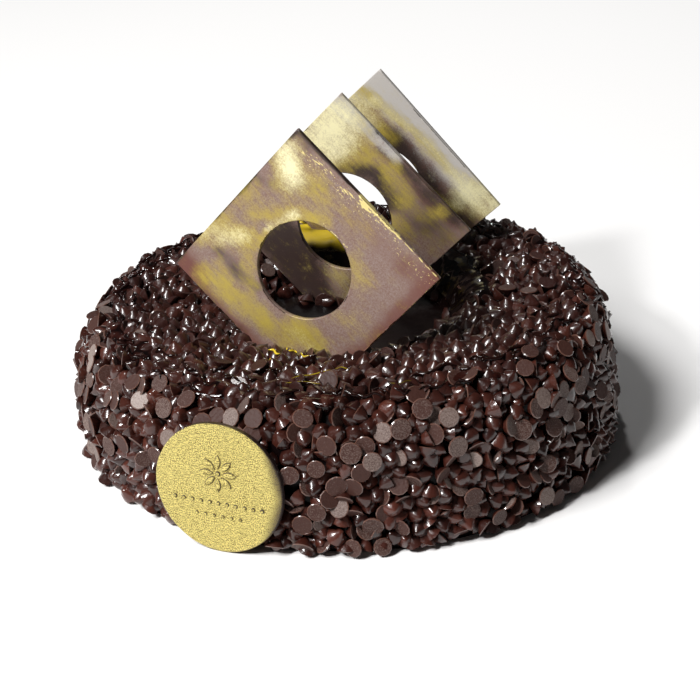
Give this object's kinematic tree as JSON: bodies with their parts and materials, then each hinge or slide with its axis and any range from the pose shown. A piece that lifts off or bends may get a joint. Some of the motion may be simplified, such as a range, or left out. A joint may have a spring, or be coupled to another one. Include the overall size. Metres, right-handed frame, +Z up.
{
  "type": "chocolate chip cake",
  "caption": "Round cake coated in chocolate chips, with square holed chocolate plaques standing in its top and a gold-dusted medallion leaning on its side.",
  "frame": {"origin": "centre of the cake's flat underside", "axes": "+Z up through the cake, the front with the medallion towards -Y, +X to the right seen from the front"},
  "size_m": [0.222, 0.2172, 0.1364],
  "materials": {
    "chocolate_chips": "dark chocolate drops, satin on the side and glazed on top",
    "gilded_chocolate": "tempered chocolate brushed with gold lustre",
    "gold_dust": "gold lustre dust over chocolate"
  },
  "bodies": {
    "root": {"cake": "chocolate_chips", "plaque_front": "gilded_chocolate", "plaque_middle": "gilded_chocolate", "plaque_back": "gilded_chocolate", "medallion": "gold_dust"}
  },
  "joints": []
}
